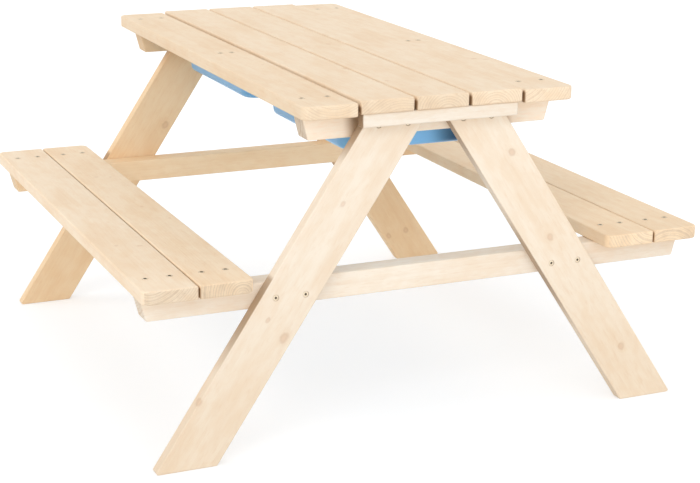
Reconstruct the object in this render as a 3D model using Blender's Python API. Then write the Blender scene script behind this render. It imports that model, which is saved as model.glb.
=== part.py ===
"""Children's picnic table of softened spruce boards, with two moulded play tubs under a lift-off lid.

Metres, +Z up. X runs across the table, from the left seat to the right one, and Y runs along its boards,
away from the viewer. The origin is on the floor, under the middle of the tabletop.
"""

import math

import bmesh
import bpy
from mathutils import Vector

# Whole table
BOARD_LENGTH = 0.900
TABLE_TOP_HEIGHT = 0.5215
SEAT_TOP_HEIGHT = 0.283
FIT_GAP = 0.0003
CUT_OVERRUN = 0.004

# Planed boards of the tabletop and the seats
BOARD_THICKNESS = 0.020
TABLE_BOARD_WIDTH = 0.083
TABLE_BOARD_GAP = 0.004
SEAT_BOARD_WIDTH = 0.081
SEAT_BOARD_GAP = 0.002
SEAT_GAP_X = 0.370
CORNER_RADIUS = 0.013
CORNER_STEPS = 6
BOARD_EDGE_RADIUS = 0.0025
EDGE_STEPS = 3

# Square-sawn bars under the tabletop and under the seats
BAR_HEIGHT = 0.038
BAR_DEPTH = 0.036
BAR_END_SLANT = 0.010
END_OVERHANG = 0.0435
BAR_EDGE_RADIUS = 0.0025
SEAT_BAR_LENGTH = 0.890
CROSSBAR_LENGTH = 0.403

# Flat board between the two tubs
BEARER_WIDTH = 0.083
BEARER_THICKNESS = 0.020
BEARER_LENGTH = 0.360

# Legs, flat boards outside the bars
LEG_THICKNESS = 0.020
LEG_WIDTH = 0.078
LEG_FOOT_X = 0.387
LEG_HEAD_X = 0.055
LEG_TIP_RADIUS = 0.006
LEG_TIP_STEPS = 4
LEG_EDGE_RADIUS = 0.0025

# Battens that hold the lid boards together and hang outside the leg heads
BATTEN_HEIGHT = 0.020
BATTEN_THICKNESS = 0.018
BATTEN_LENGTH = 0.248
BATTEN_PLAY = 0.001
BATTEN_EDGE_RADIUS = 0.002

# Countersunk screws that join each leg to its bars
SCREW_LENGTH = 0.045
SCREW_SHANK_RADIUS = 0.0021
SCREW_HEAD_RADIUS = 0.0041
SCREW_HEAD_RIM = 0.0005
SCREW_HEAD_DEPTH = 0.0030
SCREW_TIP_LENGTH = 0.005
SCREW_HEAD_SINK = 0.0005
SCREW_SPREAD = 0.046
SCREW_SIDES = 12

# Moulded play tubs, hung by their rims
TUB_WALL = 0.0024
TUB_DEPTH = 0.0715
TUB_DRAFT_INSET = 0.008
TUB_SIDE_PLAY = 0.0045
TUB_SIDE_LEDGE = 0.006
TUB_END_PLAY = 0.004
TUB_RIM_LAP = 0.0295
TUB_RIM_CORNER_RADIUS = 0.014
TUB_CORNER_RADIUS = 0.034
TUB_NECK_RADIUS = 0.002
TUB_FLOOR_RADIUS = 0.010
TUB_RIM_SOFTENING = 0.0007
TUB_CORNER_STEPS = 8
TUB_FLOOR_STEPS = 4
TUB_NECK_STEPS = 2

# Finishes: colour, roughness and metallic value
SPRUCE = ((0.86, 0.70, 0.50), 0.62, 0.0)
SPRUCE_SHADED = ((0.80, 0.62, 0.42), 0.62, 0.0)
BLUE_PLASTIC = ((0.25, 0.47, 0.78), 0.38, 0.0)
ZINC_STEEL = ((0.72, 0.70, 0.64), 0.35, 1.0)

# Heights that follow from the stack of boards, rims and bars
fixed_board_low = TABLE_TOP_HEIGHT - BOARD_THICKNESS
crossbar_top = fixed_board_low - FIT_GAP
rim_low = crossbar_top + FIT_GAP
lid_low = rim_low + TUB_WALL + FIT_GAP
seat_board_low = SEAT_TOP_HEIGHT - BOARD_THICKNESS
seat_bar_top = seat_board_low - FIT_GAP

# Places along the table and across it
bar_outer_y = BOARD_LENGTH / 2 - END_OVERHANG
bar_inner_y = bar_outer_y - BAR_DEPTH
leg_inner_y = bar_outer_y + FIT_GAP
leg_outer_y = leg_inner_y + LEG_THICKNESS
tub_centre_y = (BEARER_WIDTH / 2 + bar_inner_y) / 2
table_board_pitch = TABLE_BOARD_WIDTH + TABLE_BOARD_GAP
fixed_board_x = 2 * table_board_pitch


def finish(obj, look):
    """Gives the object a material of its own."""
    colour, roughness, metallic = look
    material = bpy.data.materials.new(obj.name)
    material.use_nodes = True
    shader = material.node_tree.nodes["Principled BSDF"]
    shader.inputs["Base Color"].default_value = (*colour, 1.0)
    shader.inputs["Roughness"].default_value = roughness
    shader.inputs["Metallic"].default_value = metallic
    material.diffuse_color = (*colour, 1.0)
    obj.data.materials.append(material)


def object_from(bm, name, location, look, parent=None):
    """Turns the bmesh into a named object at its place, seen from its parent."""
    mesh = bpy.data.meshes.new(name)
    bm.to_mesh(mesh)
    bm.free()
    obj = bpy.data.objects.new(name, mesh)
    bpy.context.scene.collection.objects.link(obj)
    obj.location = location
    if parent is not None:
        obj.parent = parent
        obj.location = Vector(location) - parent.location
    if look is not None:
        finish(obj, look)
    return obj


def rectangle(width, height):
    """A rectangle about its own middle, as four corners from the low left one, anticlockwise."""
    half_width = width / 2
    half_height = height / 2
    return [
        (-half_width, -half_height),
        (half_width, -half_height),
        (half_width, half_height),
        (-half_width, half_height),
    ]


def prism(outline, thickness, along, edge_radius, tips=(), tip_radius=0.0, tip_steps=1):
    """A flat board: the outline pushed along one axis, its chosen tips rounded and its edges softened.

    along is "Z" for a board that lies flat, with its outline in X and Y, and "Y" for an upright board,
    with its outline in X and Z. The board lies half its thickness either side of its own middle plane.
    """
    bm = bmesh.new()
    push = Vector((0, 0, thickness)) if along == "Z" else Vector((0, thickness, 0))
    corners = []
    for a, b in outline:
        flat = Vector((a, b, 0)) if along == "Z" else Vector((a, 0, b))
        corners.append(bm.verts.new(flat - push / 2))
    bm.faces.new(corners)
    if tips:
        rounded = [corners[i] for i in tips]
        bmesh.ops.bevel(
            bm, geom=rounded, offset=tip_radius, offset_type="OFFSET", segments=tip_steps,
            profile=0.5, affect="VERTICES", material=-1,
        )
    grown = bmesh.ops.extrude_face_region(bm, geom=bm.faces[:])
    moved = [item for item in grown["geom"] if isinstance(item, bmesh.types.BMVert)]
    bmesh.ops.translate(bm, verts=moved, vec=push)
    bmesh.ops.recalc_face_normals(bm, faces=bm.faces)
    sharp = [edge for edge in bm.edges if edge.calc_face_angle() > math.radians(40)]
    bmesh.ops.bevel(
        bm, geom=sharp, offset=edge_radius, offset_type="OFFSET", segments=EDGE_STEPS,
        profile=0.5, affect="EDGES", clamp_overlap=True, material=-1,
    )
    bmesh.ops.recalc_face_normals(bm, faces=bm.faces)
    return bm


def flat_board(name, width, centre_x, low_z, rounded_side=0, parent=None):
    """A full-length board lying flat, with both corners rounded on its left (-1) or its right side (1)."""
    outline = rectangle(width, BOARD_LENGTH)
    tips = [i for i, (x, y) in enumerate(outline) if x * rounded_side > 0]
    bm = prism(outline, BOARD_THICKNESS, "Z", BOARD_EDGE_RADIUS, tips, CORNER_RADIUS, CORNER_STEPS)
    centre = (centre_x, 0, low_z + BOARD_THICKNESS / 2)
    return object_from(bm, name, centre, SPRUCE, parent)


def slanted_bar(name, length, top_z, side_y):
    """A bar across the table whose ends slant inwards towards their lower edge."""
    half_top = length / 2
    half_low = half_top - BAR_END_SLANT
    half_height = BAR_HEIGHT / 2
    outline = [
        (-half_low, -half_height),
        (half_low, -half_height),
        (half_top, half_height),
        (-half_top, half_height),
    ]
    bm = prism(outline, BAR_DEPTH, "Y", BAR_EDGE_RADIUS)
    centre = (0, side_y * (bar_outer_y - BAR_DEPTH / 2), top_z - half_height)
    return object_from(bm, name, centre, SPRUCE)


def leg_centre_x(z):
    """How far from the middle a leg's centre line is, at height z."""
    share_up = z / crossbar_top
    return LEG_FOOT_X + (LEG_HEAD_X - LEG_FOOT_X) * share_up


def leg(name, side_x, side_y):
    """A splayed leg, cut level at the floor and under the lid, with its two pointed corners rounded."""
    lean = math.atan2(LEG_FOOT_X - LEG_HEAD_X, crossbar_top)
    half_cut = LEG_WIDTH / 2 / math.cos(lean)
    outline = [
        (side_x * (LEG_FOOT_X + half_cut), 0),
        (side_x * (LEG_HEAD_X + half_cut), crossbar_top),
        (side_x * (LEG_HEAD_X - half_cut), crossbar_top),
        (side_x * (LEG_FOOT_X - half_cut), 0),
    ]
    middle_z = crossbar_top / 2
    middle = Vector((side_x * leg_centre_x(middle_z), side_y * (leg_inner_y + leg_outer_y) / 2, middle_z))
    local = [(x - middle.x, z - middle.z) for x, z in outline]
    bm = prism(local, LEG_THICKNESS, "Y", LEG_EDGE_RADIUS, (0, 2), LEG_TIP_RADIUS, LEG_TIP_STEPS)
    return object_from(bm, name, middle, SPRUCE)


def screw_profile(grow, lead):
    """Half a screw's section as (radius, depth) pairs, grown all round, with lead more length at its head."""
    head = SCREW_HEAD_RADIUS + grow
    shank = SCREW_SHANK_RADIUS + grow
    return [
        (0, lead),
        (head, lead),
        (head, -SCREW_HEAD_RIM),
        (shank, -SCREW_HEAD_DEPTH),
        (shank, SCREW_TIP_LENGTH - SCREW_LENGTH),
        (0, -SCREW_LENGTH - grow),
    ]


def turned(profile, name, location, turn_x, look):
    """A round piece: its half section spun about its own axis, which then tips to lie along Y."""
    bm = bmesh.new()
    points = [bm.verts.new((radius, 0, z)) for radius, z in profile]
    edges = [bm.edges.new(pair) for pair in zip(points, points[1:])]
    bmesh.ops.spin(
        bm, geom=points + edges, cent=(0, 0, 0), axis=(0, 0, 1), dvec=(0, 0, 0),
        angle=math.tau, steps=SCREW_SIDES, use_merge=True,
    )
    bmesh.ops.remove_doubles(bm, verts=bm.verts, dist=FIT_GAP / 100)
    bmesh.ops.recalc_face_normals(bm, faces=bm.faces)
    obj = object_from(bm, name, location, look)
    obj.rotation_euler = (turn_x, 0, 0)
    obj.data.shade_smooth()
    obj.data.set_sharp_from_angle(angle=math.radians(35))
    return obj


def bore(target, cutter):
    """Cuts the hidden cutter out of the target."""
    cut = target.modifiers.new("screw_bore", "BOOLEAN")
    cut.operation = "DIFFERENCE"
    cut.solver = "EXACT"
    cut.object = cutter


def leg_screw(name, x, z, side_y, wooden_pieces):
    """A countersunk screw through a leg into a bar, with its bore cut in both."""
    head_y = side_y * (leg_outer_y - SCREW_HEAD_SINK)
    turn_x = -side_y * math.pi / 2
    turned(screw_profile(0, 0), name, (x, head_y, z), turn_x, ZINC_STEEL)
    cutter = turned(screw_profile(FIT_GAP, CUT_OVERRUN), name + "_bore", (x, head_y, z), turn_x, None)
    cutter.hide_render = True
    cutter.display_type = "WIRE"
    for piece in wooden_pieces:
        bore(piece, cutter)


def rounded_ring(half_x, half_y, radius, z):
    """Points round a rectangle with round corners, anticlockwise, at one height."""
    points = []
    for corner, (sign_x, sign_y) in enumerate(((1, 1), (-1, 1), (-1, -1), (1, -1))):
        centre_x = sign_x * (half_x - radius)
        centre_y = sign_y * (half_y - radius)
        for step in range(TUB_CORNER_STEPS + 1):
            angle = math.pi / 2 * (corner + step / TUB_CORNER_STEPS)
            points.append((centre_x + radius * math.cos(angle), centre_y + radius * math.sin(angle), z))
    return points


def tub_section():
    """The tub's outside from neck to floor, as (inset, height) pairs below the rim's underside."""
    draft = math.atan2(TUB_DRAFT_INSET, TUB_DEPTH)
    section = []
    for step in range(TUB_NECK_STEPS + 1):
        angle = math.pi / 2 * step / TUB_NECK_STEPS
        inset = -TUB_NECK_RADIUS * (1 - math.sin(angle))
        section.append((inset, -TUB_NECK_RADIUS * (1 - math.cos(angle))))
    tangent = TUB_FLOOR_RADIUS / math.tan((math.pi / 2 + draft) / 2)
    centre_inset = TUB_DRAFT_INSET + tangent
    centre_z = TUB_FLOOR_RADIUS - TUB_DEPTH
    for step in range(TUB_FLOOR_STEPS + 1):
        angle = math.pi + draft + (math.pi / 2 - draft) * step / TUB_FLOOR_STEPS
        inset = centre_inset + TUB_FLOOR_RADIUS * math.cos(angle)
        section.append((inset, centre_z + TUB_FLOOR_RADIUS * math.sin(angle)))
    return section


def tub(name, side_y):
    """A moulded tub: one sheet drawn from the rim down through the neck, the drafted walls and the floor."""
    opening_half_x = fixed_board_x - TABLE_BOARD_WIDTH / 2
    rim_half_x = opening_half_x - TUB_SIDE_PLAY
    opening_half_y = (bar_inner_y - BEARER_WIDTH / 2) / 2
    rim_half_y = opening_half_y + TUB_RIM_LAP
    body_half_x = rim_half_x - TUB_SIDE_LEDGE
    body_half_y = opening_half_y - TUB_END_PLAY
    rings = [rounded_ring(rim_half_x, rim_half_y, TUB_RIM_CORNER_RADIUS, 0)]
    for inset, z in tub_section():
        rings.append(rounded_ring(body_half_x - inset, body_half_y - inset, TUB_CORNER_RADIUS - inset, z))
    bm = bmesh.new()
    above = None
    for ring in rings:
        points = [bm.verts.new(point) for point in ring]
        edges = [bm.edges.new(pair) for pair in zip(points, points[1:] + points[:1])]
        if above is not None:
            bmesh.ops.bridge_loops(bm, edges=above + edges)
        above = edges
    floor = bm.faces.new(points)
    bmesh.ops.recalc_face_normals(bm, faces=bm.faces)
    floor.normal_update()
    if floor.normal.z > 0:
        bmesh.ops.reverse_faces(bm, faces=bm.faces)
    obj = object_from(bm, name, (0, side_y * tub_centre_y, rim_low), BLUE_PLASTIC)
    wall = obj.modifiers.new("wall", "SOLIDIFY")
    wall.thickness = TUB_WALL
    wall.offset = -1.0
    wall.use_even_offset = True
    lip = obj.modifiers.new("lip", "BEVEL")
    lip.width = TUB_RIM_SOFTENING
    lip.segments = 2
    lip.limit_method = "ANGLE"
    lip.angle_limit = math.radians(60)
    obj.data.shade_smooth()
    return obj


def clear_scene():
    for obj in list(bpy.data.objects):
        bpy.data.objects.remove(obj, do_unlink=True)


def build_tabletop():
    """The two fixed boards, the lid's three boards and two battens, and the bearer between the tubs."""
    flat_board("table_board_left", TABLE_BOARD_WIDTH, -fixed_board_x, fixed_board_low, -1)
    flat_board("table_board_right", TABLE_BOARD_WIDTH, fixed_board_x, fixed_board_low, 1)
    lid = bpy.data.objects.new("lid", None)
    lid.location = (0, 0, lid_low)
    bpy.context.scene.collection.objects.link(lid)
    for index, side in enumerate(("left", "middle", "right")):
        centre_x = (index - 1) * table_board_pitch
        flat_board("lid_board_" + side, TABLE_BOARD_WIDTH, centre_x, lid_low, parent=lid)
    batten_y = leg_outer_y + BATTEN_PLAY + BATTEN_THICKNESS / 2
    batten_z = lid_low - FIT_GAP - BATTEN_HEIGHT / 2
    for side, side_y in (("near", -1), ("far", 1)):
        bm = prism(rectangle(BATTEN_LENGTH, BATTEN_HEIGHT), BATTEN_THICKNESS, "Y", BATTEN_EDGE_RADIUS)
        object_from(bm, "lid_batten_" + side, (0, side_y * batten_y, batten_z), SPRUCE, lid)
    bm = prism(rectangle(BEARER_LENGTH, BEARER_WIDTH), BEARER_THICKNESS, "Z", BOARD_EDGE_RADIUS)
    object_from(bm, "tub_bearer", (0, 0, crossbar_top - BEARER_THICKNESS / 2), SPRUCE_SHADED)


def build_frames():
    """The two A-frames, each with a crossbar, a seat bar, two legs and their eight screws."""
    crossbar_middle = crossbar_top - BAR_HEIGHT / 2
    seat_bar_middle = seat_bar_top - BAR_HEIGHT / 2
    for side, side_y in (("near", -1), ("far", 1)):
        crossbar = slanted_bar("table_crossbar_" + side, CROSSBAR_LENGTH, crossbar_top, side_y)
        seat_bar = slanted_bar("seat_bar_" + side, SEAT_BAR_LENGTH, seat_bar_top, side_y)
        joints = (
            ("head", crossbar, crossbar_middle),
            ("seat", seat_bar, seat_bar_middle),
        )
        for hand, side_x in (("left", -1), ("right", 1)):
            upright = leg(f"leg_{side}_{hand}", side_x, side_y)
            for joint, bar, height in joints:
                for place, shift in (("inner", -1), ("outer", 1)):
                    x = side_x * (leg_centre_x(height) + shift * SCREW_SPREAD / 2)
                    name = f"screw_{side}_{hand}_{joint}_{place}"
                    leg_screw(name, x, height, side_y, (upright, bar))


def build_seats():
    """Two boards on each seat, with the seat's four corners rounded."""
    from_gap = (SEAT_BOARD_GAP + SEAT_BOARD_WIDTH) / 2
    for hand, side_x in (("left", -1), ("right", 1)):
        for place, shift in (("inner", -1), ("outer", 1)):
            centre_x = side_x * (SEAT_GAP_X + shift * from_gap)
            outward = side_x * shift
            flat_board(f"seat_board_{hand}_{place}", SEAT_BOARD_WIDTH, centre_x, seat_board_low, outward)


def main():
    clear_scene()
    build_tabletop()
    build_frames()
    build_seats()
    tub("tub_near", -1)
    tub("tub_far", 1)


main()
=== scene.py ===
"""Looks for a children's picnic table of planed spruce, with two blue play tubs under its lid."""

import math

import bmesh
import bpy
from mathutils import Euler, Matrix, Vector


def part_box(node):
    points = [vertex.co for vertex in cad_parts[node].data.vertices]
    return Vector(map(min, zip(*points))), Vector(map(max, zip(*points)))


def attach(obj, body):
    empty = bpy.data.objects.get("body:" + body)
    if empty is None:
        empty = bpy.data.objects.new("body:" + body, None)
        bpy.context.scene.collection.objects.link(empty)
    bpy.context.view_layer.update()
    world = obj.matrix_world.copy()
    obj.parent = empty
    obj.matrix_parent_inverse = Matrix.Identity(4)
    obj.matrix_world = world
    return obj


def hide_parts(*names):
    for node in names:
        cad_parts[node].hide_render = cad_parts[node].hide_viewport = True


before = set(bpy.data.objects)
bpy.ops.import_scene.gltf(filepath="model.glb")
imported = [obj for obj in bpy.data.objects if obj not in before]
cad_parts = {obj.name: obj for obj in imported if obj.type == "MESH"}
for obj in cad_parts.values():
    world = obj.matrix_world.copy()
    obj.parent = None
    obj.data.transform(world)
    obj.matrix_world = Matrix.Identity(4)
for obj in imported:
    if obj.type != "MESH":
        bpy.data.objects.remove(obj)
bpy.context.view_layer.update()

# The photograph's viewpoint
IMAGE_WIDTH = 700
LENS_PIXELS = 1686.15
SENSOR_WIDTH = 36.0
CAMERA_REACH = 60.0
CAMERA_PLACE = Vector((-1.0734, -2.5564, 0.9941))
CAMERA_HEADING = math.radians(23.8011)
CAMERA_DIP = math.radians(16.2638)
CAMERA_ROLL = math.radians(0.4726)

# Each patch of sky that lights the table: the way towards it, its width in degrees and its strength
SKY_PATCHES = {
    "front": ((0.10, -1.0, 0.05), 35.0, 0.80),
    "high_front": ((0.0, -0.70, 0.70), 25.0, 0.14),
    "front_left": ((-0.60, -0.60, 0.50), 30.0, 0.565),
    "back_left": ((-0.80, 0.40, 0.50), 30.0, 0.47),
    "right": ((0.75, -0.20, 0.75), 30.0, 0.19),
    "overhead": ((0.0, -0.26, 0.97), 25.0, 0.10),
}
AIR_LIGHT = 0.71
WHITE = (1.0, 1.0, 1.0, 1.0)
FLOOR_REACH = 9.0
FLOOR_WHITE = (0.92, 0.94, 0.96)
FLOOR_BOUNCE = (0.80, 0.80, 0.80)
FLOOR_GLOW_SHARE = 0.25
FLOOR_GLOW = 1.74

# Colours of the wood and its knots, of the stain and painted shade round its screws, and of the shade
# painted into its joints, gaps and feet
PALE_WOOD = (0.926, 0.778, 0.600)
LATE_WOOD = (0.800, 0.570, 0.365)
BLUSH_WOOD = (0.893, 0.711, 0.515)
WOOD_COLOURS = {"Pale": PALE_WOOD, "Late": LATE_WOOD, "Blush": BLUSH_WOOD}
END_LATE_WOOD = (0.725, 0.552, 0.385)
KNOT_HEART = (0.660, 0.370, 0.210)
KNOT_RIM = (0.480, 0.250, 0.120)
SCREW_STAIN_AND_SHADE = (0.420, 0.290, 0.190)
# Colour of the shade painted into gaps and beside joints
PAINTED_SHADE = (0.470, 0.370, 0.280)
# Colour of the shade painted on the legs towards the floor
FOOT_SHADE = (0.850, 0.770, 0.660)
WARMTH_IN_GREEN = 0.5
WARMTH_IN_BLUE = 1.3

# Year rings, in metres or in shares
RING_WAVER = 0.018
RING_TREMOR = 0.0022
RING_UNEVENNESS = 0.7
RING_UNEVENNESS_SCALE = 0.8
LATE_SEASON = (0.25, 0.90, 0.93, 1.0)
FAINTEST_LATE = 0.55
FIGURE_PATCHES = (0.38, 0.62, 0.35, 1.0)
FIGURE_ON_ENDS = 0.62

# Patterns in the wood: their pace along the grain beside across it, their scale, detail and roughness
WOOD_PATTERNS = {
    "waver": (0.22, 11.0, 1.5, 0.5),
    "tremor": (0.10, 60.0, 1.0, 0.5),
    "fibres": (0.025, 620.0, 3.0, 0.62),
    "streaks": (0.06, 110.0, 2.0, 0.5),
    "flecks": (0.16, 330.0, 1.0, 0.5),
    "clouds": (0.35, 20.0, 2.0, 0.5),
    "mottle": (0.45, 75.0, 3.0, 0.6),
    "smudges": (1.0, 48.0, 2.0, 0.5),
    "specks": (1.0, 900.0, 2.0, 0.5),
}

# What a pattern adds: where it starts, where it is full, how much, and whether on end grain alone
SHADING = (
    ("streaks", 0.40, 0.75, 0.13, False),
    ("fibres", 0.40, 0.80, 0.10, False),
    ("flecks", 0.56, 0.76, 0.22, False),
    ("smudges", 0.46, 0.68, 0.30, True),
    ("clouds", 0.52, 0.74, 0.13, False),
    ("specks", 0.45, 0.70, 0.20, True),
)
BLUSHING = (
    ("clouds", 0.40, 0.66, 0.60, False),
    ("mottle", 0.38, 0.66, 0.60, False),
)
WOOD_ROUGHNESS = 0.50
FIBRE_ROUGHNESS = 0.14
END_ROUGHNESS = 0.12
LATE_HEIGHT = 0.5
FIBRE_HEIGHT = 0.55
KNOT_HEIGHT = 0.5
WOOD_BUMP = {"Strength": 0.35, "Distance": 0.0004}
WOOD_SPECULAR = 0.35

# Knots, in metres or in shares of their radius
KNOT_MARKS = ("Bulge", "Heart", "Rim")
KNOT_CORE = 0.75
KNOT_STRETCH = (1.0, 1.0, 0.72)
KNOT_WOBBLE = 0.9
KNOT_WOBBLE_SCALE = 150.0
KNOT_ROOT = 0.004
KNOT_SWELL = 1.9
KNOT_SWELL_FALL = -0.16
KNOT_HEART_EDGE = (1.5, 0.3)
KNOT_RIM_SPAN = (0.35, 0.95, 1.05, 1.75)
KNOT_HALO = (0.0010, 0.0080)
KNOT_HALO_SHARE = 0.20
KNOT_HEART_SHARE = 0.34
KNOT_RIM_SHARE = 0.21

# How squarely a face must look along the grain, into a gap or past a joint, to count in part and in full
END_GRAIN = (0.55, 0.85)
SIDE_IN_GAP = (0.5, 0.9)
SIDE_AT_JOINT = (0.5, 0.8)

# Painted shade at joints, in gaps and towards the feet, and the stain and painted shade round screws, in
# metres or in shares
JOINT_SHADE_SHARE = 0.82
GAP_FADE = 0.0055
FOOT_SHADE_SPAN = (0.42, -0.05)
# The stain round each screw, which also paints the shade of its countersink
STAIN_AND_SHADE_SHARE = 0.40
STAIN_AND_SHADE_RAGGEDNESS = 0.0012
STAIN_AND_SHADE_SCALE = 900.0
STAIN_AND_SHADE_SPAN = (0.0022, 0.0006)

# Tubs
TUB_BLUE = (0.210, 0.545, 0.945)
TUB_SHADE = (0.060, 0.150, 0.210)
TUB_DEEPER = 0.90
TUB_DRIFT = (0.35, 0.65)
TUB_DRIFT_SCALE = 9.0
# Where shade is painted on the tubs' near ends, and how much
TUB_SHADE_SPAN = (0.018, 0.072)
TUB_SHADE_SHARE = 0.95
TUB_END_FACING = (-0.4, -0.9)
TUB_ROUGHNESS = 0.30
TUB_SCUFFS = (0.5, 0.8)
TUB_SCUFF_LAY = (1.0, 0.15, 1.0)
TUB_SCUFF_SCALE = 160.0
TUB_SCUFF_DETAIL = 3.0
TUB_SCUFF_ROUGHNESS = 0.12
TUB_GRAIN_SCALE = 1400.0
TUB_BUMP = {"Strength": 0.12, "Distance": 0.0002}
TUB_WALL = 0.0024
TUB_DEPTH = 0.0715
TUB_DRAFT_INSET = 0.008
TUB_SIDE_LEDGE = 0.006
TUB_BODY_HALF_Y = 0.1605
TUB_RIM_CORNER_RADIUS = 0.014
TUB_CORNER_RADIUS = 0.034
TUB_CORNER_STEPS = 14
TUB_NECK_RADIUS = 0.002
TUB_NECK_STEPS = 4
TUB_FLOOR_RADIUS = 0.010
TUB_FLOOR_STEPS = 8
TUB_LIP_RADIUS = 0.0007
TUB_LIP_STEPS = 2
TUB_LIP_ANGLE = math.radians(60)

# Screws, with shade painted in their recesses and round the rims of their heads
PLATED_STEEL = (0.960, 0.825, 0.620)
TARNISHED_STEEL = (0.800, 0.660, 0.480)
SCREW_PAINTED_SHADE = (0.060, 0.028, 0.012)
DARKEST = 0.92
TARNISH = (0.4, 0.7)
TARNISH_SCALE = 420.0
UNSHADED_STEEL = (0.7, 0.1)
STEEL_METALLIC = 0.45
STEEL_ROUGHNESS = 0.30
TARNISH_ROUGHNESS = 0.25
STEEL_SPECULAR = 0.15
SCREW_SIDES = 24
SCREW_HEAD_RADIUS = 0.0041
SCREW_HEAD_DEPTH = 0.0030
SCREW_HEAD_EDGE = 0.0007
SCREW_HEAD_ROUNDING = 0.0003
SCREW_EDGE_BREAK = 0.0001
SCREW_SHANK_RADIUS = 0.0021
SCREW_TIP_RADIUS = 0.0004
SCREW_TIP_LENGTH = 0.005
RECESS_DEPTH = 0.0017
RECESS_FLOOR = 0.82
RECESS_BORDER = 1.12
RECESS_LIP_DARKNESS = 0.6
STAR_POINTS = 6
STAR_REACH = 0.18
# How far and how dark shade is painted round a head's rim, and at its edge
SHADED_RIM_FULL_WIDTH = 0.0006
RIM_SHADE_DARKNESS = 0.9
HEAD_EDGE_DARKNESS = 0.8
SMOOTH_ANGLE = math.radians(35)
# Each kind of screw: its recess as a share of its head, and the width of its rim painted dark as shade
LEG_SCREW_LOOKS = {"head": (0.46, 0.0008), "seat": (0.46, 0.0002)}
BOARD_SCREW_LOOKS = (0.62, 0.0002)
BOARD_SCREW_LENGTH = 0.032

# Where screws enter the wood
SCREW_SHOWS = 0.0004
BAR_CENTRE_Y = 0.3885
SEAT_SCREW_SPREAD = 0.0178
TABLE_SCREW_SPREAD = 0.0195
BEARER_SCREW_X = 0.168
BEARER_SCREW_SPREAD = 0.0095
LEG_SCREWS = [(joint, place) for joint in ("head", "seat") for place in ("inner", "outer")]
LID_BOARDS = ("lid_board_left", "lid_board_middle", "lid_board_right")
SCREWED_BOARDS = (
    "table_board_left", "table_board_right", "seat_board_left_inner", "seat_board_left_outer",
    "seat_board_right_inner", "seat_board_right_outer",
)
LID_BATTENS = ("lid_batten_near", "lid_batten_far")

# How the wood's grain lies
ALONG_Y = (math.radians(90), 0, 0)
ALONG_X = (0, math.radians(-90), 0)
LEG_FOOT_X = 0.387
LEG_HEAD_X = 0.055
LEG_TOP_Z = 0.5012
LEG_LEAN = math.atan2(LEG_FOOT_X - LEG_HEAD_X, LEG_TOP_Z)

# Each wooden piece's own spruce, as spruce() takes it. Its warmth and depth are partly the piece's own
# tone and partly painted light and shade: the far legs and bars are painted warmer, as the shade under the
# table makes them, and the seats and the near crossbar lighter, against the shade that falls on them.
FLAT_BOARDS = {
    "table_board_left": dict(
        heart=(0.010, -0.060), ring_width=0.0036, warmth=0.06, depth=0.025, end_depth=-0.03, gaps="right",
        knots=[((-0.150, -0.120, 0.522), 0.0020, 0.5)],
    ),
    "table_board_right": dict(
        heart=(-0.060, -0.045), ring_width=0.0040, warmth=0.03, depth=0.020, end_depth=-0.07, gaps="left",
        knots=[((0.181, -0.193, 0.522), 0.0024, 0.9), ((0.197, -0.205, 0.522), 0.0022, 0.7)],
    ),
    "lid_board_left": dict(
        heart=(0.022, 0.075), ring_width=0.0040, warmth=0.04, depth=0.020, end_depth=0.00,
        gaps="both", gap_top=0.0060,
        knots=[((-0.088, -0.040, 0.524), 0.0024, 0.6), ((-0.050, -0.211, 0.524), 0.0030, 0.9)],
    ),
    "lid_board_middle": dict(
        heart=(0.006, 0.022), ring_width=0.0040, warmth=0.04, depth=0.025, end_depth=0.01,
        gaps="both", gap_top=0.0030,
        knots=[
            ((0.013, 0.004, 0.524), 0.0036, 0.6), ((-0.011, 0.100, 0.524), 0.0026, 0.5),
            ((-0.031, -0.324, 0.524), 0.0024, 0.6), ((-0.007, -0.387, 0.524), 0.0024, 0.5),
        ],
    ),
    "lid_board_right": dict(
        heart=(-0.004, 0.020), ring_width=0.0038, warmth=0.03, depth=0.020, end_depth=-0.06,
        gaps="both", gap_top=0.0030,
    ),
    "seat_board_left_inner": dict(
        heart=(0.020, 0.012), ring_width=0.0038, warmth=0.07, depth=-0.070, end_depth=0.12, gaps="left",
        knots=[
            ((-0.313, 0.193, 0.283), 0.0022, 0.7), ((-0.336, 0.202, 0.283), 0.0022, 0.7),
            ((-0.321, -0.015, 0.283), 0.0020, 0.6), ((-0.300, -0.098, 0.283), 0.0022, 0.6),
        ],
    ),
    "seat_board_left_outer": dict(
        heart=(-0.030, -0.040), ring_width=0.0036, warmth=0.02, depth=-0.060, end_depth=0.12, gaps="right",
        knots=[((-0.421, -0.216, 0.283), 0.0026, 0.6), ((-0.389, -0.229, 0.283), 0.0024, 0.6)],
    ),
    "seat_board_right_inner": dict(
        heart=(0.050, -0.050), ring_width=0.0040, warmth=0.10, depth=-0.090, end_depth=-0.01, gaps="right",
    ),
    "seat_board_right_outer": dict(
        heart=(-0.015, 0.055), ring_width=0.0040, warmth=0.10, depth=-0.055, end_depth=0.01, gaps="left",
    ),
    "tub_bearer": dict(heart=(0.010, 0.040), ring_width=0.0040, warmth=0.05, depth=0.04),
}
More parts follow.
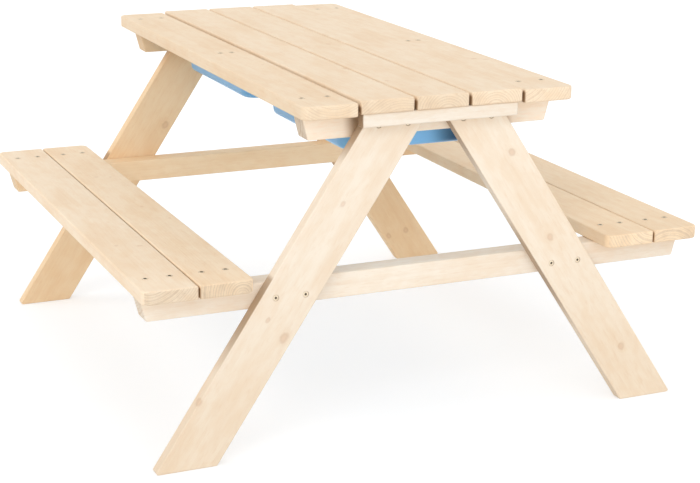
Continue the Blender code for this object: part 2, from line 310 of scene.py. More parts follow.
# Distances from the table's middle over which shade is painted by the leg heads
BAR_SHELTER = (0.140, 0.117, 0.095, 0.080)
CROSS_BARS = {
    "table_crossbar_near": dict(
        heart=(-0.030, 0.050), ring_width=0.0040, warmth=-0.12, depth=-0.125, end_depth=0.24,
        shelter=BAR_SHELTER,
    ),
    "table_crossbar_far": dict(
        heart=(0.030, 0.040), ring_width=0.0040, warmth=0.18, depth=0.020, shelter=BAR_SHELTER,
    ),
    "seat_bar_near": dict(heart=(-0.045, 0.030), ring_width=0.0042, warmth=-0.14, depth=-0.020),
    "seat_bar_far": dict(heart=(0.030, -0.050), ring_width=0.0042, warmth=0.16, depth=-0.090, figure=0.10),
    # The battens' ends are painted in shade over their whole height
    "lid_batten_near": dict(
        heart=(0.020, 0.050), ring_width=0.0040, warmth=-0.16, depth=0.010, gaps="both", gap_top=-0.0060,
    ),
    "lid_batten_far": dict(
        heart=(0.020, -0.050), ring_width=0.0040, warmth=0.04, depth=0.02, gaps="both", gap_top=-0.0060,
    ),
}
# Heights, from above down, where shade is painted on the legs' sides beside the bars; the wider set spreads
# it further along a side that faces down
LEG_JOINTS = ((0.600, 0.510, 0.466, 0.425), (0.277, 0.269, 0.222, 0.125))
WIDE_LEG_JOINTS = ((0.600, 0.510, 0.474, 0.360), (0.345, 0.260, 0.220, 0.110))
LEGS = {
    "leg_near_left": dict(
        heart=(0.012, 0.060), ring_width=0.0048, warmth=-0.12, depth=-0.010, figure=0.09,
        foot_shade=0.55, joints=LEG_JOINTS,
        knots=[
            ((-0.1455, -0.427, 0.372), 0.0036, 0.7), ((-0.261, -0.427, 0.212), 0.0032, 0.8),
            ((-0.2365, -0.427, 0.182), 0.0062, 0.9), ((-0.368, -0.427, 0.103), 0.0045, 0.8),
        ],
    ),
    "leg_near_right": dict(
        heart=(-0.016, 0.055), ring_width=0.0050, warmth=-0.10, depth=-0.020, figure=0.09,
        foot_shade=0.55, joints=WIDE_LEG_JOINTS,
        knots=[
            ((0.127, -0.427, 0.424), 0.0046, 0.9), ((0.198, -0.427, 0.286), 0.0046, 0.8),
            ((0.336, -0.427, 0.091), 0.0048, 0.8),
        ],
    ),
    "leg_far_left": dict(
        heart=(0.020, -0.050), ring_width=0.0048, warmth=0.17, depth=-0.025, joints=LEG_JOINTS,
        knots=[((-0.146, 0.407, 0.318), 0.0055, 1.0)],
    ),
    "leg_far_right": dict(
        heart=(-0.020, -0.055), ring_width=0.0048, warmth=0.18, depth=-0.005, joints=LEG_JOINTS,
        knots=[((0.319, 0.407, 0.052), 0.0050, 0.9), ((0.357, 0.407, 0.060), 0.0045, 0.9)],
    ),
}


# Node trees

def feed(tree, node, inputs):
    """Sets a node's inputs, each to a value or from another node's socket."""
    for key, value in inputs.items():
        socket = node.inputs[key]
        if isinstance(value, bpy.types.NodeSocket):
            tree.links.new(value, socket)
        else:
            socket.default_value = value


def add(tree, kind, inputs=None, **settings):
    """A new shader node with its settings and its inputs."""
    node = tree.nodes.new("ShaderNode" + kind)
    for key, value in settings.items():
        setattr(node, key, value)
    feed(tree, node, inputs or {})
    return node


def maths(tree, operation, *values):
    """A Math node's result."""
    return add(tree, "Math", dict(enumerate(values)), operation=operation).outputs[0]


def gathered(tree, operation, values):
    """A Math operation's result over any number of values, two at a time."""
    result = values[0]
    for value in values[1:]:
        result = maths(tree, operation, result, value)
    return result


def vectors(tree, operation, *values):
    """A Vector Math node's result, a number where the operation gives one."""
    node = add(tree, "VectorMath", dict(enumerate(values)), operation=operation)
    return node.outputs["Value" if operation in ("LENGTH", "DISTANCE", "DOT_PRODUCT") else "Vector"]


def scaled(tree, vector, scale):
    """The vector made longer or shorter."""
    return add(tree, "VectorMath", {0: vector, "Scale": scale}, operation="SCALE").outputs["Vector"]


def stretch(tree, vector, scales):
    """The vector with each axis scaled."""
    return vectors(tree, "MULTIPLY", vector, scales)


def part(tree, vector, axis):
    """The vector's X, Y or Z."""
    return add(tree, "SeparateXYZ", {0: vector}).outputs[axis]


def fade(tree, value, start, end, low=0.0, high=1.0):
    """A smooth step from low, at start, to high, at end."""
    inputs = {"Value": value, "From Min": start, "From Max": end, "To Min": low, "To Max": high}
    return add(tree, "MapRange", inputs, interpolation_type="SMOOTHSTEP").outputs[0]


def between(tree, value, start, full, full_end, end, high=1.0):
    """A smooth rise from start to full, where it is high, and a fall from full_end to end."""
    rise = fade(tree, value, start, full, 0.0, high)
    return maths(tree, "MULTIPLY", rise, fade(tree, value, end, full_end))


def noise(tree, vector, scale, detail=2.0, roughness=0.5):
    """Noise between about 0 and 1."""
    inputs = {"Vector": vector, "Scale": scale, "Detail": detail, "Roughness": roughness}
    return add(tree, "TexNoise", inputs).outputs[0]


def as_colour(value):
    """A colour's socket as it is, or a plain colour with its alpha."""
    return value if isinstance(value, bpy.types.NodeSocket) else (*value, 1.0)


def mix(tree, share, first, second, blend="MIX"):
    """Two colours mixed by share. Sockets 6 and 7 are the ones of the Mix node that take colours."""
    inputs = {0: share, 6: as_colour(first), 7: as_colour(second)}
    return add(tree, "Mix", inputs, data_type="RGBA", blend_type=blend).outputs[2]


def seen_by(tree, *kinds):
    """1 for these kinds of ray, and else 0."""
    path = add(tree, "LightPath")
    return gathered(tree, "MAXIMUM", [path.outputs[f"Is {kind} Ray"] for kind in kinds])


def new_group(name, inputs, outputs):
    """An empty node group with its sockets, its input node and its output node."""
    tree = bpy.data.node_groups.new(name, "ShaderNodeTree")
    for in_out, sockets in (("INPUT", inputs), ("OUTPUT", outputs)):
        for label, kind in sockets.items():
            tree.interface.new_socket(name=label, in_out=in_out, socket_type="NodeSocket" + kind)
    return tree, tree.nodes.new("NodeGroupInput"), tree.nodes.new("NodeGroupOutput")


def new_material(name):
    """An empty material with its node tree and its shader."""
    material = bpy.data.materials.new(name)
    material.use_nodes = True
    return material, material.node_tree, material.node_tree.nodes["Principled BSDF"]


# Objects

def middle(node):
    """The middle of a CAD node's box."""
    low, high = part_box(node)
    return (low + high) / 2


def placed(name, data):
    """A new object in the scene."""
    obj = bpy.data.objects.new(name, data)
    bpy.context.scene.collection.objects.link(obj)
    return obj


def made_of(name, bm, material):
    """A finished bmesh as an object at the origin, with its material."""
    mesh = bpy.data.meshes.new(name)
    bm.to_mesh(mesh)
    bm.free()
    mesh.materials.append(material)
    return placed(name, mesh)


def screw_points(node):
    """The middles of the screw heads that lie in a wooden piece's face."""
    low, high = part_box(node)
    centre = middle(node)
    if node.startswith("leg"):
        points = []
        for joint, place in LEG_SCREWS:
            screw = f"screw_{node.removeprefix('leg_')}_{joint}_{place}"
            screw_low, screw_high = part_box(screw)
            face = screw_low.y if centre.y < 0 else screw_high.y
            points.append((middle(screw).x, face, middle(screw).z))
        return points
    if node.startswith("lid_batten"):
        return [(middle(board).x, centre.y, low.z - SCREW_SHOWS) for board in LID_BOARDS]
    if not node.startswith(("seat_board", "table_board")):
        return []
    top = high.z + SCREW_SHOWS
    spread = SEAT_SCREW_SPREAD if node.startswith("seat") else TABLE_SCREW_SPREAD
    bars = (-BAR_CENTRE_Y, BAR_CENTRE_Y)
    points = [(centre.x + way * spread, bar_y, top) for bar_y in bars for way in (-1, 1)]
    if node.startswith("table"):
        bearer_x = math.copysign(BEARER_SCREW_X, centre.x)
        points += [(bearer_x + way * BEARER_SCREW_SPREAD, 0, top) for way in (-1, 1)]
    return points


# Wood

def knot_group():
    """A branch out from the log's heart: how it swells the rings, its own wood and its dark rim."""
    inputs = {
        "Vector": "Vector",
        "Height": "Float",
        "Direction": "Vector",
        "Radius": "Float",
        "Strength": "Float",
    }
    tree, given, result = new_group("knot", inputs, dict.fromkeys(KNOT_MARKS, "Float"))
    direction = given.outputs["Direction"]
    size = given.outputs["Radius"]
    root = add(tree, "CombineXYZ", {"Z": given.outputs["Height"]}).outputs[0]
    from_root = vectors(tree, "SUBTRACT", given.outputs["Vector"], root)
    reach = vectors(tree, "DOT_PRODUCT", from_root, direction)
    across = vectors(tree, "SUBTRACT", from_root, scaled(tree, direction, reach))
    distance = vectors(tree, "LENGTH", stretch(tree, across, KNOT_STRETCH))
    wobble = noise(tree, from_root, KNOT_WOBBLE_SCALE)
    share = maths(tree, "DIVIDE", distance, maths(tree, "MULTIPLY", size, KNOT_CORE))
    share = maths(tree, "ADD", share, maths(tree, "MULTIPLY_ADD", wobble, KNOT_WOBBLE, -KNOT_WOBBLE / 2))
    outward = fade(tree, reach, 0.0, KNOT_ROOT)
    seen = maths(tree, "MULTIPLY", outward, given.outputs["Strength"])
    swell = maths(tree, "MULTIPLY", maths(tree, "MULTIPLY", share, share), KNOT_SWELL_FALL)
    swell = maths(tree, "MULTIPLY", maths(tree, "EXPONENT", swell), size)
    swell = maths(tree, "MULTIPLY", swell, KNOT_SWELL)
    feed(tree, result, {
        "Bulge": maths(tree, "MULTIPLY", swell, outward),
        "Heart": maths(tree, "MULTIPLY", fade(tree, share, *KNOT_HEART_EDGE), seen),
        "Rim": maths(tree, "MULTIPLY", between(tree, share, *KNOT_RIM_SPAN), seen),
    })
    return tree


def screw_seat_group():
    """Crushed, stained wood round a screw's head, also painting the shade of a countersink."""
    inputs = {"Vector": "Vector", "Place": "Vector"}
    tree, given, result = new_group("screw_seat", inputs, {"Mask": "Float"})
    away = vectors(tree, "DISTANCE", given.outputs["Vector"], given.outputs["Place"])
    ragged = noise(tree, given.outputs["Vector"], STAIN_AND_SHADE_SCALE)
    distance = maths(tree, "MULTIPLY_ADD", ragged, STAIN_AND_SHADE_RAGGEDNESS, away)
    edges = [SCREW_HEAD_RADIUS + width for width in STAIN_AND_SHADE_SPAN]
    feed(tree, result, {"Mask": fade(tree, distance, *edges)})
    return tree


def heaped(tree, patterns, rows, total, end):
    """The total with each row's pattern added to it, faded in and weighted."""
    for name, start, full, share, on_ends_alone in rows:
        weight = maths(tree, "MULTIPLY", end, share) if on_ends_alone else share
        total = maths(tree, "MULTIPLY_ADD", fade(tree, patterns[name], start, full), weight, total)
    return total


def spruce_group():
    """Spruce in a log's own axes, with its heart along Z: year rings, fibres, blush, knots, screw stains
    and painted shade.
    """
    amounts = ("Ring Width", *KNOT_MARKS, "End", "End Depth", "Figure", "Painted Shade", "Foot Shade", "Screws")
    inputs = {"Vector": "Vector", **dict.fromkeys(amounts, "Float"), **dict.fromkeys(WOOD_COLOURS, "Color")}
    tree, given, result = new_group(
        "spruce", inputs, {"Color": "Color", "Roughness": "Float", "Height": "Float"},
    )
    vector = given.outputs["Vector"]
    end = given.outputs["End"]
    patterns = {
        name: noise(tree, stretch(tree, vector, (1.0, 1.0, run)), *settings)
        for name, (run, *settings) in WOOD_PATTERNS.items()
    }

    radius = vectors(tree, "LENGTH", stretch(tree, vector, (1.0, 1.0, 0.0)))
    radius = maths(tree, "MULTIPLY_ADD", patterns["waver"], RING_WAVER, radius)
    radius = maths(tree, "MULTIPLY_ADD", patterns["tremor"], RING_TREMOR, radius)
    radius = maths(tree, "ADD", radius, given.outputs["Bulge"])
    rings = maths(tree, "DIVIDE", radius, given.outputs["Ring Width"])
    uneven = {"W": rings, "Scale": RING_UNEVENNESS_SCALE, "Detail": 0.0}
    uneven = add(tree, "TexNoise", uneven, noise_dimensions="1D").outputs[0]
    rings = maths(tree, "MULTIPLY_ADD", uneven, RING_UNEVENNESS, rings)
    late = between(tree, maths(tree, "FRACT", rings), *LATE_SEASON)
    year = {"W": maths(tree, "FLOOR", rings)}
    strength = add(tree, "TexWhiteNoise", year, noise_dimensions="1D").outputs["Value"]
    strength = maths(tree, "MULTIPLY_ADD", strength, 1.0 - FAINTEST_LATE, FAINTEST_LATE)
    late = maths(tree, "MULTIPLY", late, strength)

    patches = fade(tree, patterns["clouds"], *FIGURE_PATCHES)
    figure = maths(tree, "MULTIPLY", patches, given.outputs["Figure"])
    figure = add(tree, "Mix", {0: end, 2: figure, 3: FIGURE_ON_ENDS}, data_type="FLOAT").outputs[0]
    shade = heaped(tree, patterns, SHADING, maths(tree, "MULTIPLY", late, figure), end)
    blush = heaped(tree, patterns, BLUSHING, 0.0, end)
    colour = mix(tree, blush, given.outputs["Pale"], given.outputs["Blush"])
    colour = mix(tree, shade, colour, mix(tree, end, given.outputs["Late"], END_LATE_WOOD))
    depth = maths(tree, "MULTIPLY", end, given.outputs["End Depth"])
    colour = scaled(tree, colour, maths(tree, "SUBTRACT", 1.0, depth))
    for mask, share, mark, blend in (
        (fade(tree, given.outputs["Bulge"], *KNOT_HALO), KNOT_HALO_SHARE, given.outputs["Late"], "MIX"),
        (given.outputs["Heart"], KNOT_HEART_SHARE, KNOT_HEART, "MIX"),
        (given.outputs["Rim"], KNOT_RIM_SHARE, KNOT_RIM, "MIX"),
        # Stain round the screws, which also paints the shade of their countersinks
        (given.outputs["Screws"], STAIN_AND_SHADE_SHARE, SCREW_STAIN_AND_SHADE, "MULTIPLY"),
        # Painted shade at joints, in gaps and by the leg heads
        (given.outputs["Painted Shade"], 1.0, PAINTED_SHADE, "MULTIPLY"),
        # Painted shade on the legs, darker towards the floor
        (given.outputs["Foot Shade"], 1.0, FOOT_SHADE, "MULTIPLY"),
    ):
        colour = mix(tree, maths(tree, "MULTIPLY", mask, share), colour, mark, blend)

    rough = maths(tree, "MULTIPLY_ADD", patterns["fibres"], FIBRE_ROUGHNESS, WOOD_ROUGHNESS)
    height = maths(tree, "MULTIPLY", patterns["fibres"], FIBRE_HEIGHT)
    height = maths(tree, "MULTIPLY_ADD", late, LATE_HEIGHT, height)
    feed(tree, result, {
        "Color": colour,
        "Roughness": maths(tree, "MULTIPLY_ADD", end, END_ROUGHNESS, rough),
        "Height": maths(tree, "MULTIPLY_ADD", given.outputs["Heart"], KNOT_HEIGHT, height),
    })
    return tree


def knot_marks(tree, log, log_turn, shift, knots):
    """The knots' bulges, hearts and rims, each added up over the board."""
    found = []
    for point, radius, strength in knots:
        local = log_turn @ Vector(point) + shift
        outward = Vector((local.x, local.y, 0)).normalized()
        inputs = {
            "Vector": log, "Height": local.z, "Direction": outward, "Radius": radius, "Strength": strength,
        }
        found.append(add(tree, "Group", inputs, node_tree=knot_tree))
    if not found:
        return {}
    return {mark: gathered(tree, "ADD", [knot.outputs[mark] for knot in found]) for mark in KNOT_MARKS}


def joint_painted_shade(tree, place, normal, joints):
    """Painted shade on a leg's sides beside the bars, between the heights that each joint gives from above
    down.
    """
    facing = fade(tree, maths(tree, "ABSOLUTE", part(tree, normal, "X")), *SIDE_AT_JOINT)
    height = part(tree, place, "Z")
    beside = [between(tree, height, *joint, high=JOINT_SHADE_SHARE) for joint in joints]
    return maths(tree, "MULTIPLY", facing, gathered(tree, "MAXIMUM", beside))


def shelter_painted_shade(tree, place, normal, span):
    """Painted shade on a crossbar's upright faces by the leg heads, over distances from the table's middle.
    """
    facing = fade(tree, maths(tree, "ABSOLUTE", part(tree, normal, "Y")), *SIDE_IN_GAP)
    across = maths(tree, "ABSOLUTE", part(tree, place, "X"))
    return maths(tree, "MULTIPLY", facing, between(tree, across, *span))


def gap_painted_shade(tree, place, normal, sides, top):
    """Painted shade on the left side, the right side or both, growing from the height top down."""
    facing = part(tree, normal, "X")
    if sides == "both":
        facing = maths(tree, "ABSOLUTE", facing)
    elif sides == "left":
        facing = maths(tree, "MULTIPLY", facing, -1.0)
    below = fade(tree, part(tree, place, "Z"), top, top - GAP_FADE)
    return maths(tree, "MULTIPLY", fade(tree, facing, *SIDE_IN_GAP), below)


def tinted(colour, warmth, depth):
    """The colour with its alpha, warmer by warmth and darker by depth, both as shares."""
    red, green, blue = (level * (1.0 - depth) for level in colour)
    return (red, green * (1 - WARMTH_IN_GREEN * warmth), blue * (1 - WARMTH_IN_BLUE * warmth), 1.0)


def spruce(
    node, turn, heart, ring_width, warmth, depth, knots=(), figure=0.16, end_depth=0.06,
    foot_shade=0.0, joints=(), shelter=(), gaps="", gap_top=0.0005,
):
    """A wooden piece's own spruce.

    turn brings world axes to the log's, and heart is where the log's heart lies beside the piece's middle.
    warmth and depth tint and darken the whole piece, partly as its own tone and partly as painted light and
    shade, and end_depth darkens its end grain. Each knot is a point, a radius and a strength. figure is how
    strongly the year rings show on its faces. foot_shade is how much painted shade darkens its low end
    towards the floor. joints, shelter and gaps say where painted shade lies: beside the bars on a leg, by
    the legs on a bar, or on the sides that lie in a gap, from gap_top below its top face. A piece has one
    of the three at most.
    """
    material, tree, shader = new_material(node + "_spruce")
    log_turn = Euler(turn).to_matrix()
    shift = Vector((-heart[0], -heart[1], 0.0)) - log_turn @ middle(node)
    grain = log_turn.transposed() @ Vector((0, 0, 1))
    place = add(tree, "TexCoord").outputs["Object"]
    normal = add(tree, "NewGeometry").outputs["True Normal"]
    log = add(tree, "Mapping", {"Vector": place, "Location": shift, "Rotation": turn}).outputs[0]
    along = maths(tree, "ABSOLUTE", vectors(tree, "DOT_PRODUCT", normal, grain))
    inputs = {
        "Vector": log,
        "Ring Width": ring_width,
        "End": fade(tree, along, *END_GRAIN),
        "End Depth": end_depth,
        "Figure": figure,
        **{label: tinted(colour, warmth, depth) for label, colour in WOOD_COLOURS.items()},
        **knot_marks(tree, log, log_turn, shift, knots),
    }
    seats = [
        add(tree, "Group", {"Vector": place, "Place": point}, node_tree=screw_seat_tree).outputs["Mask"]
        for point in screw_points(node)
    ]
    if seats:
        inputs["Screws"] = gathered(tree, "ADD", seats)
    # Painted shade on the legs, darker towards the floor
    if foot_shade:
        inputs["Foot Shade"] = fade(tree, part(tree, place, "Z"), *FOOT_SHADE_SPAN, 0.0, foot_shade)
    if joints:
        inputs["Painted Shade"] = joint_painted_shade(tree, place, normal, joints)
    if shelter:
        inputs["Painted Shade"] = shelter_painted_shade(tree, place, normal, shelter)
    if gaps:
        inputs["Painted Shade"] = gap_painted_shade(tree, place, normal, gaps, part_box(node)[1].z - gap_top)
    wood = add(tree, "Group", inputs, node_tree=spruce_tree)
    bump = add(tree, "Bump", {"Height": wood.outputs["Height"], **WOOD_BUMP})
    feed(tree, shader, {
        "Base Color": wood.outputs["Color"],
        "Roughness": wood.outputs["Roughness"],
        "Normal": bump.outputs["Normal"],
        "Specular IOR Level": WOOD_SPECULAR,
    })
    return material


def dress(name, turn, facts):
    """Gives a wooden CAD node its own spruce."""
    material = spruce(name, turn, **facts)
    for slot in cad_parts[name].material_slots:
        slot.material = material


knot_tree = knot_group()
screw_seat_tree = screw_seat_group()
spruce_tree = spruce_group()
for name, facts in FLAT_BOARDS.items():
    dress(name, ALONG_Y, facts)
for name, facts in CROSS_BARS.items():
    dress(name, ALONG_X, facts)
for name, facts in LEGS.items():
    lean = -LEG_LEAN if name.endswith("left") else LEG_LEAN
    dress(name, (0, lean, 0), facts)


# Play tubs

def moulded_plastic():
    """Satin blue polypropylene, grained and lightly scuffed, with shade painted on its near ends, deepening
    towards the right.
    """
    material, tree, shader = new_material("tub_plastic")
    place = add(tree, "TexCoord").outputs["Object"]
    normal = add(tree, "NewGeometry").outputs["Normal"]
    drift = noise(tree, place, TUB_DRIFT_SCALE)
    grain = noise(tree, place, TUB_GRAIN_SCALE)
    scuffs = noise(tree, stretch(tree, place, TUB_SCUFF_LAY), TUB_SCUFF_SCALE, TUB_SCUFF_DETAIL)
    deeper = tuple(TUB_DEEPER * level for level in TUB_BLUE)
    colour = mix(tree, fade(tree, drift, *TUB_DRIFT), deeper, TUB_BLUE)
    # Painted shade on each tub's near end, deepening towards its right-hand corner
    rightward = fade(tree, part(tree, place, "X"), *TUB_SHADE_SPAN, 0.0, TUB_SHADE_SHARE)
    on_end = fade(tree, part(tree, normal, "Y"), *TUB_END_FACING)
    colour = mix(tree, maths(tree, "MULTIPLY", rightward, on_end), colour, TUB_SHADE, "MULTIPLY")
    scuffed = fade(tree, scuffs, *TUB_SCUFFS)
    bump = add(tree, "Bump", {"Height": grain, **TUB_BUMP})
    feed(tree, shader, {
        "Base Color": colour,
        "Roughness": maths(tree, "MULTIPLY_ADD", scuffed, TUB_SCUFF_ROUGHNESS, TUB_ROUGHNESS),
        "Normal": bump.outputs["Normal"],
    })
    return material


def rounded_panel(bm, centre, half_x, half_y, radius, z):
    """A face like a rectangle with round corners, facing down."""
    matrix = Matrix.Translation((centre.x, centre.y, z)) @ Matrix.Diagonal((half_x, -half_y, 1.0, 1.0))
    corners = bmesh.ops.create_grid(bm, x_segments=1, y_segments=1, size=1.0, matrix=matrix)["verts"]
    made = bmesh.ops.bevel(
        bm, geom=corners, offset=radius, offset_type="OFFSET", segments=TUB_CORNER_STEPS, profile=0.5,
        affect="VERTICES", material=-1,
    )
    panel = made["verts"][0].link_faces[0]
    panel.normal_update()
    return panel


def tub_section():
    """The tub's outside from neck to floor: its insets, and its depths below the rim's underside."""
    draft = math.atan2(TUB_DRAFT_INSET, TUB_DEPTH)
    section = []
    for step in range(TUB_NECK_STEPS + 1):
        angle = math.pi / 2 * step / TUB_NECK_STEPS
        section.append((TUB_NECK_RADIUS * (math.sin(angle) - 1), TUB_NECK_RADIUS * (1 - math.cos(angle))))
    centre_inset = TUB_DRAFT_INSET + TUB_FLOOR_RADIUS / math.tan((math.pi / 2 + draft) / 2)
    centre_depth = TUB_DEPTH - TUB_FLOOR_RADIUS
    for step in range(TUB_FLOOR_STEPS + 1):
        angle = math.pi + draft + (math.pi / 2 - draft) * step / TUB_FLOOR_STEPS
        inset = centre_inset + TUB_FLOOR_RADIUS * math.cos(angle)
        section.append((inset, centre_depth - TUB_FLOOR_RADIUS * math.sin(angle)))
    return section


def play_tub(node, body, material):
    """A tub as moulded: one sheet from rim to floor, given its wall and softened lips."""
    low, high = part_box(node)
    centre = middle(node)
    rim_z = high.z - TUB_WALL
    rim_half_x = high.x - centre.x
    rim_half_y = high.y - centre.y
    (inset, depth), *steps = tub_section()
    bm = bmesh.new()
    rim = rounded_panel(bm, centre, rim_half_x, rim_half_y, TUB_RIM_CORNER_RADIUS, rim_z)
    half_x = rim_half_x - TUB_SIDE_LEDGE - inset
    half_y = TUB_BODY_HALF_Y - inset
    floor = rounded_panel(bm, centre, half_x, half_y, TUB_CORNER_RADIUS - inset, rim_z - depth)
    loops = list(rim.edges) + list(floor.edges)
    bmesh.ops.delete(bm, geom=[rim], context="FACES_ONLY")
    bmesh.ops.bridge_loops(bm, edges=loops)
    for next_inset, next_depth in steps:
        bmesh.ops.inset_region(
            bm, faces=[floor], thickness=next_inset - inset, depth=next_depth - depth,
            use_boundary=True, use_even_offset=True,
        )
        inset = next_inset
        depth = next_depth
    # An open sheet can come out of this with its faces turned inwards
    bmesh.ops.recalc_face_normals(bm, faces=bm.faces)
    if floor.normal.z > 0:
        bmesh.ops.reverse_faces(bm, faces=bm.faces)
    obj = made_of(node + "_moulding", bm, material)
    wall = obj.modifiers.new("wall", "SOLIDIFY")
    wall.thickness = TUB_WALL
    wall.offset = -1.0
    wall.use_even_offset = True
    lips = obj.modifiers.new("lips", "BEVEL")
    lips.width = TUB_LIP_RADIUS
    lips.segments = TUB_LIP_STEPS
    lips.limit_method = "ANGLE"
    lips.angle_limit = TUB_LIP_ANGLE
    obj.data.shade_smooth()
    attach(obj, body)
    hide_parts(node)


plastic = moulded_plastic()
play_tub("tub_near", "near_tub", plastic)
play_tub("tub_far", "far_tub", plastic)


# Screws

def plated_steel():
    """Dull plated steel, slightly yellow and unevenly tarnished, with shade painted where the screw's
    points say so.
    """
    material, tree, shader = new_material("screw_steel")
    place = add(tree, "TexCoord").outputs["Object"]
    dark = add(tree, "Attribute", attribute_name="dark").outputs["Fac"]
    tarnish = noise(tree, place, TARNISH_SCALE)
    colour = mix(tree, fade(tree, tarnish, *TARNISH), PLATED_STEEL, TARNISHED_STEEL)
    feed(tree, shader, {
        "Base Color": mix(tree, maths(tree, "MULTIPLY", dark, DARKEST), colour, SCREW_PAINTED_SHADE),
        "Metallic": fade(tree, dark, *UNSHADED_STEEL, 0.0, STEEL_METALLIC),
        "Roughness": maths(tree, "MULTIPLY_ADD", tarnish, TARNISH_ROUGHNESS, STEEL_ROUGHNESS),
        "Specular IOR Level": STEEL_SPECULAR,
    })
    return material


def screw_rings(length, recess_share, shaded_rim):
    """A screw's outside from its recess to its point: each ring's radius, height, star shape and darkness.

    recess_share is the recess as a share of the head, and the last argument is the width of the head's rim
    painted dark as shade.
    """
    head = SCREW_HEAD_RADIUS
    recess = head * recess_share
    rim_shade = min(1.0, shaded_rim / SHADED_RIM_FULL_WIDTH)
    # The darkness is painted shade: in the recess, and round the head's rim where it meets the wood
    return [
        (recess * RECESS_FLOOR, -RECESS_DEPTH, True, 1.0),
        (recess, -SCREW_EDGE_BREAK, True, 1.0),
        (recess, 0.0, True, RECESS_LIP_DARKNESS),
        (recess * RECESS_BORDER, 0.0, True, 0.0),
        (head - shaded_rim, 0.0, False, 0.0),
        (head - shaded_rim / 3, -SCREW_EDGE_BREAK, False, RIM_SHADE_DARKNESS * rim_shade),
        (head, -SCREW_HEAD_ROUNDING, False, rim_shade),
        (head, -SCREW_HEAD_EDGE, False, HEAD_EDGE_DARKNESS),
        (SCREW_SHANK_RADIUS, -SCREW_HEAD_DEPTH, False, 0.0),
        (SCREW_SHANK_RADIUS, SCREW_TIP_LENGTH - length, False, 0.0),
        (SCREW_TIP_RADIUS, -length, False, 0.0),
    ]


def add_screw(bm, place, direction, rings):
    """Adds one screw to the bmesh: its head's face at place, its shank running against direction."""
    dark = bm.verts.layers.float["dark"]
    made = []
    above = None
    for radius, height, star, darkness in rings:
        matrix = Matrix.Translation((0, 0, height))
        points = bmesh.ops.create_circle(bm, segments=SCREW_SIDES, radius=radius, matrix=matrix)["verts"]
        for point in points:
            point[dark] = darkness
            if star:
                point.co.xy *= 1.0 + STAR_REACH * math.cos(STAR_POINTS * math.atan2(point.co.y, point.co.x))
        edges = list(dict.fromkeys(edge for point in points for edge in point.link_edges))
        if above is None:
            bmesh.ops.contextual_create(bm, geom=edges)
        else:
            bmesh.ops.bridge_loops(bm, edges=above + edges)
        above = edges
        made += points
    bmesh.ops.contextual_create(bm, geom=above)
    turn = Vector((0, 0, 1)).rotation_difference(Vector(direction)).to_matrix().to_4x4()
    bmesh.ops.transform(bm, matrix=Matrix.Translation(place) @ turn, verts=made)


def screws(name, body, places, direction, rings, stands_for=()):
    """Screws that lie in one board, as one piece."""
    bm = bmesh.new()
    bm.verts.layers.float.new("dark")
    for place in places:
        add_screw(bm, place, direction, rings)
    bmesh.ops.recalc_face_normals(bm, faces=bm.faces)
    obj = made_of(name, bm, steel)
    obj.data.shade_smooth()
    obj.data.set_sharp_from_angle(angle=SMOOTH_ANGLE)
    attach(obj, body)
    if stands_for:
        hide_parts(*stands_for)


steel = plated_steel()
for side, side_y in (("near", -1), ("far", 1)):
    for hand in ("left", "right"):
        for (joint, place), point in zip(LEG_SCREWS, screw_points(f"leg_{side}_{hand}")):
            node = f"screw_{side}_{hand}_{joint}_{place}"
            low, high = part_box(node)
            rings = screw_rings(high.y - low.y, *LEG_SCREW_LOOKS[joint])
            screws(node + "_turned", "table_frame", [point], (0, side_y, 0), rings, [node])

board_rings = screw_rings(BOARD_SCREW_LENGTH, *BOARD_SCREW_LOOKS)
for node in SCREWED_BOARDS:
    screws(node + "_screws", "table_frame", screw_points(node), (0, 0, 1), board_rings)
for node in LID_BATTENS:
    screws(node + "_screws", "lid", screw_points(node), (0, 0, -1), board_rings)


# Floor, lights and camera

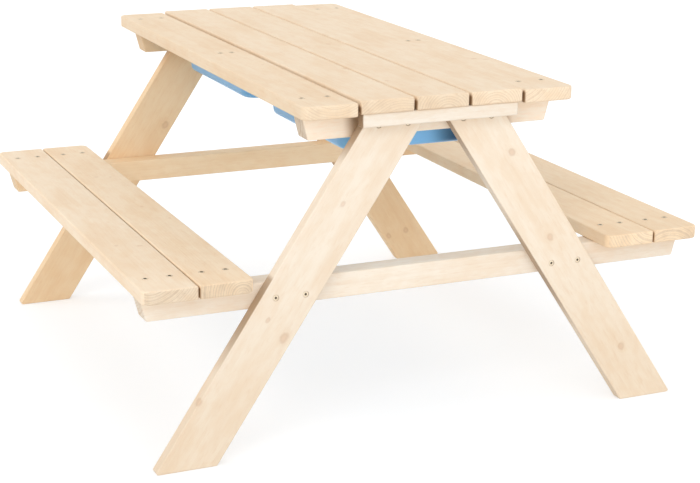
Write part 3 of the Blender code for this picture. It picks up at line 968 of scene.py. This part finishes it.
def pale_floor():
    """A pale floor that stays white to the camera but keeps the table's soft shadow."""
    material, tree, shader = new_material("floor_white")
    tree.nodes.remove(shader)
    seen = seen_by(tree, "Camera", "Glossy")
    matt = add(tree, "BsdfDiffuse", {"Color": mix(tree, seen, FLOOR_BOUNCE, FLOOR_WHITE)})
    glow = add(tree, "Emission", {"Color": WHITE, "Strength": FLOOR_GLOW})
    share = maths(tree, "MULTIPLY", seen, FLOOR_GLOW_SHARE)
    mixed = add(tree, "MixShader", {0: share, 1: matt.outputs[0], 2: glow.outputs[0]})
    feed(tree, tree.nodes["Material Output"], {"Surface": mixed.outputs[0]})
    bm = bmesh.new()
    bmesh.ops.create_grid(bm, x_segments=1, y_segments=1, size=FLOOR_REACH)
    made_of("floor", bm, material)


def white_air():
    """Plain white surroundings, dimmer as a light than as a background."""
    world = bpy.data.worlds.new("white_air")
    bpy.context.scene.world = world
    world.use_nodes = True
    tree = world.node_tree
    seen = seen_by(tree, "Camera", "Transmission", "Glossy")
    strength = maths(tree, "MULTIPLY_ADD", seen, 1.0 - AIR_LIGHT, AIR_LIGHT)
    feed(tree, tree.nodes["Background"], {"Color": WHITE, "Strength": strength})


def daylight(name, toward, spread, strength):
    """Even light from a broad patch of sky; toward points at the patch."""
    data = bpy.data.lights.new(name, "SUN")
    data.angle = math.radians(spread)
    data.energy = strength
    lamp = placed(name, data)
    lamp.rotation_euler = Vector(toward).to_track_quat("Z", "Y").to_euler()


def photo_camera():
    """The camera at the photograph's angle."""
    data = bpy.data.cameras.new("photo_view")
    data.sensor_width = SENSOR_WIDTH
    data.lens = LENS_PIXELS / IMAGE_WIDTH * SENSOR_WIDTH
    data.clip_end = CAMERA_REACH
    camera = placed("photo_view", data)
    level = Vector((math.cos(CAMERA_HEADING), -math.sin(CAMERA_HEADING), 0))
    forward = Vector((math.sin(CAMERA_HEADING), math.cos(CAMERA_HEADING), 0))
    ahead = math.cos(CAMERA_DIP) * forward - math.sin(CAMERA_DIP) * Vector((0, 0, 1))
    upright = level.cross(ahead)
    right = math.cos(CAMERA_ROLL) * level + math.sin(CAMERA_ROLL) * upright
    up = math.cos(CAMERA_ROLL) * upright - math.sin(CAMERA_ROLL) * level
    turn = Matrix((right, up, -ahead)).transposed()
    camera.matrix_world = Matrix.Translation(CAMERA_PLACE) @ turn.to_4x4()
    bpy.context.scene.camera = camera


pale_floor()
white_air()
for name, patch in SKY_PATCHES.items():
    daylight(name, *patch)
photo_camera()
bpy.context.scene.view_settings.view_transform = "Standard"
